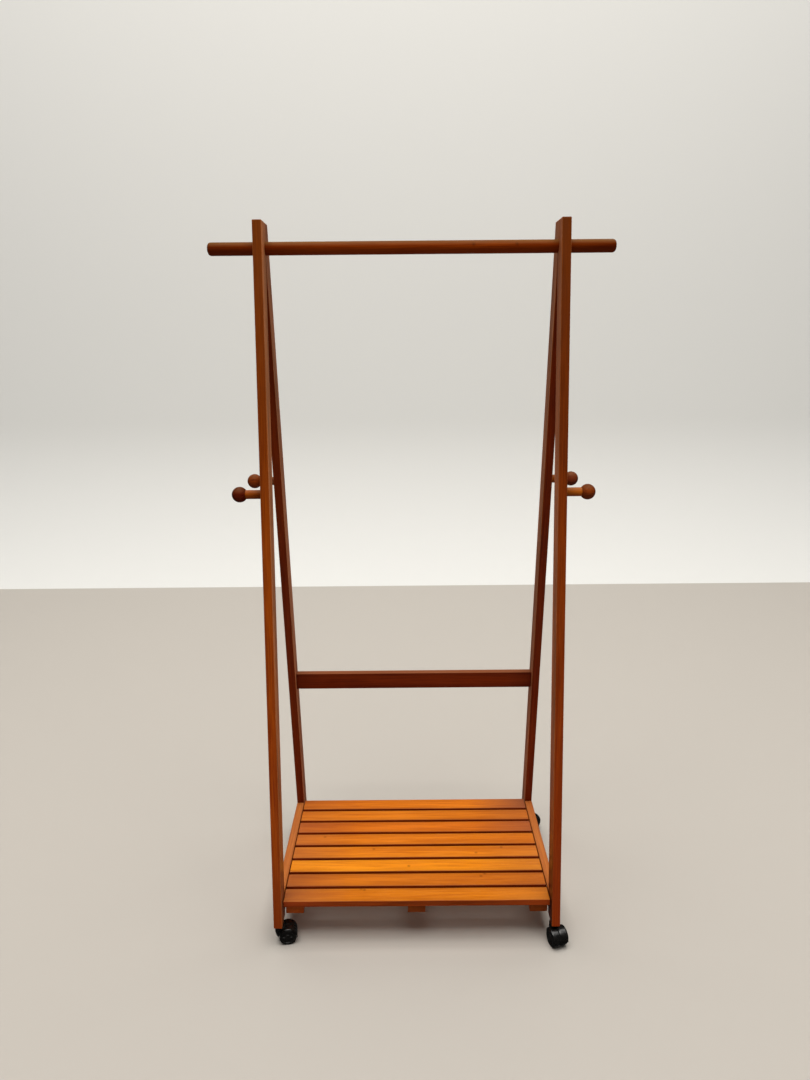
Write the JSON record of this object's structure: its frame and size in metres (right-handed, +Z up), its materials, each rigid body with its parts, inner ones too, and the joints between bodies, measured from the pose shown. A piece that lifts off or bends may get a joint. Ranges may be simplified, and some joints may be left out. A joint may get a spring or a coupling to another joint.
{
  "type": "clothes rack",
  "caption": "Wooden clothes rack with two A-shaped sides, a round hanging rail, side pegs, a slatted shelf and swivelling casters.",
  "frame": {"origin": "on the floor, under the middle of the rack's bounding box", "axes": "+X along the hanging rail to the right, +Y to the back, where the crossbar is, +Z up"},
  "size_m": [0.89, 0.5284, 1.65],
  "materials": {
    "stained_beech": "satin red-brown stain",
    "rail_beech": "satin brown stain",
    "slat_beech": "satin orange stain",
    "peg_beech": "satin light brown stain",
    "knob_beech": "satin dark red-brown stain",
    "zinc_steel": "bright zinc plate",
    "caster_plastic": "black moulded nylon"
  },
  "bodies": {
    "frame": {"hanging_rail": "rail_beech", "left_front_leg": "stained_beech", "left_rear_leg": "stained_beech", "right_front_leg": "stained_beech", "right_rear_leg": "stained_beech", "left_bottom_rail": "stained_beech", "right_bottom_rail": "stained_beech", "rear_crossbar": "stained_beech", "slat_1": "slat_beech", "slat_2": "slat_beech", "slat_3": "slat_beech", "slat_4": "slat_beech", "slat_5": "slat_beech", "slat_6": "slat_beech", "slat_7": "slat_beech", "slat_8": "slat_beech", "left_bearer": "stained_beech", "centre_bearer": "stained_beech", "right_bearer": "stained_beech", "left_front_peg": "peg_beech", "left_rear_peg": "peg_beech", "right_front_peg": "peg_beech", "right_rear_peg": "peg_beech", "left_front_knob": "knob_beech", "left_rear_knob": "knob_beech", "right_front_knob": "knob_beech", "right_rear_knob": "knob_beech", "left_crossbar_screw": "zinc_steel", "right_crossbar_screw": "zinc_steel", "left_front_shelf_screw": "zinc_steel", "left_rear_shelf_screw": "zinc_steel", "right_front_shelf_screw": "zinc_steel", "right_rear_shelf_screw": "zinc_steel", "left_rail_screw": "zinc_steel", "right_rail_screw": "zinc_steel", "left_front_caster_insert": "zinc_steel", "left_rear_caster_insert": "zinc_steel", "right_front_caster_insert": "zinc_steel", "right_rear_caster_insert": "zinc_steel", "left_front_caster_stem": "zinc_steel", "left_rear_caster_stem": "zinc_steel", "right_front_caster_stem": "zinc_steel", "right_rear_caster_stem": "zinc_steel"},
    "left_front_fork": {"left_front_caster_hood": "caster_plastic", "left_front_caster_axle": "zinc_steel"},
    "left_front_wheel_1": {"left_front_caster_wheel_1": "caster_plastic"},
    "left_front_wheel_2": {"left_front_caster_wheel_2": "caster_plastic"},
    "left_rear_fork": {"left_rear_caster_hood": "caster_plastic", "left_rear_caster_axle": "zinc_steel"},
    "left_rear_wheel_1": {"left_rear_caster_wheel_1": "caster_plastic"},
    "left_rear_wheel_2": {"left_rear_caster_wheel_2": "caster_plastic"},
    "right_front_fork": {"right_front_caster_hood": "caster_plastic", "right_front_caster_axle": "zinc_steel"},
    "right_front_wheel_1": {"right_front_caster_wheel_1": "caster_plastic"},
    "right_front_wheel_2": {"right_front_caster_wheel_2": "caster_plastic"},
    "right_rear_fork": {"right_rear_caster_hood": "caster_plastic", "right_rear_caster_axle": "zinc_steel"},
    "right_rear_wheel_1": {"right_rear_caster_wheel_1": "caster_plastic"},
    "right_rear_wheel_2": {"right_rear_caster_wheel_2": "caster_plastic"}
  },
  "joints": [
    {"name": "left_front_swivel", "type": "hinge", "parent": "frame", "child": "left_front_fork", "pos_m": [-0.329, -0.21895, 0.045], "axis": [0, 0, 1], "continuous": true},
    {"name": "left_rear_swivel", "type": "hinge", "parent": "frame", "child": "left_rear_fork", "pos_m": [-0.329, 0.21895, 0.045], "axis": [0, 0, 1], "continuous": true},
    {"name": "right_front_swivel", "type": "hinge", "parent": "frame", "child": "right_front_fork", "pos_m": [0.329, -0.21895, 0.045], "axis": [0, 0, 1], "continuous": true},
    {"name": "right_rear_swivel", "type": "hinge", "parent": "frame", "child": "right_rear_fork", "pos_m": [0.329, 0.21895, 0.045], "axis": [0, 0, 1], "continuous": true},
    {"name": "left_front_spin_1", "type": "hinge", "parent": "left_front_fork", "child": "left_front_wheel_1", "pos_m": [-0.31068, -0.21637, 0.02], "axis": [-0.1392, 0.9903, 0], "continuous": true},
    {"name": "left_front_spin_2", "type": "hinge", "parent": "left_front_fork", "child": "left_front_wheel_2", "pos_m": [-0.31068, -0.21637, 0.02], "axis": [-0.1392, 0.9903, 0], "continuous": true},
    {"name": "left_rear_spin_1", "type": "hinge", "parent": "left_rear_fork", "child": "left_rear_wheel_1", "pos_m": [-0.3239, 0.23673, 0.02], "axis": [-0.9613, 0.2756, 0], "continuous": true},
    {"name": "left_rear_spin_2", "type": "hinge", "parent": "left_rear_fork", "child": "left_rear_wheel_2", "pos_m": [-0.3239, 0.23673, 0.02], "axis": [-0.9613, 0.2756, 0], "continuous": true},
    {"name": "right_front_spin_1", "type": "hinge", "parent": "right_front_fork", "child": "right_front_wheel_1", "pos_m": [0.3341, -0.23673, 0.02], "axis": [0.9613, 0.2756, 0], "continuous": true},
    {"name": "right_front_spin_2", "type": "hinge", "parent": "right_front_fork", "child": "right_front_wheel_2", "pos_m": [0.3341, -0.23673, 0.02], "axis": [0.9613, 0.2756, 0], "continuous": true},
    {"name": "right_rear_spin_1", "type": "hinge", "parent": "right_rear_fork", "child": "right_rear_wheel_1", "pos_m": [0.34638, 0.21262, 0.02], "axis": [0.342, 0.9397, 0], "continuous": true},
    {"name": "right_rear_spin_2", "type": "hinge", "parent": "right_rear_fork", "child": "right_rear_wheel_2", "pos_m": [0.34638, 0.21262, 0.02], "axis": [0.342, 0.9397, 0], "continuous": true}
  ]
}
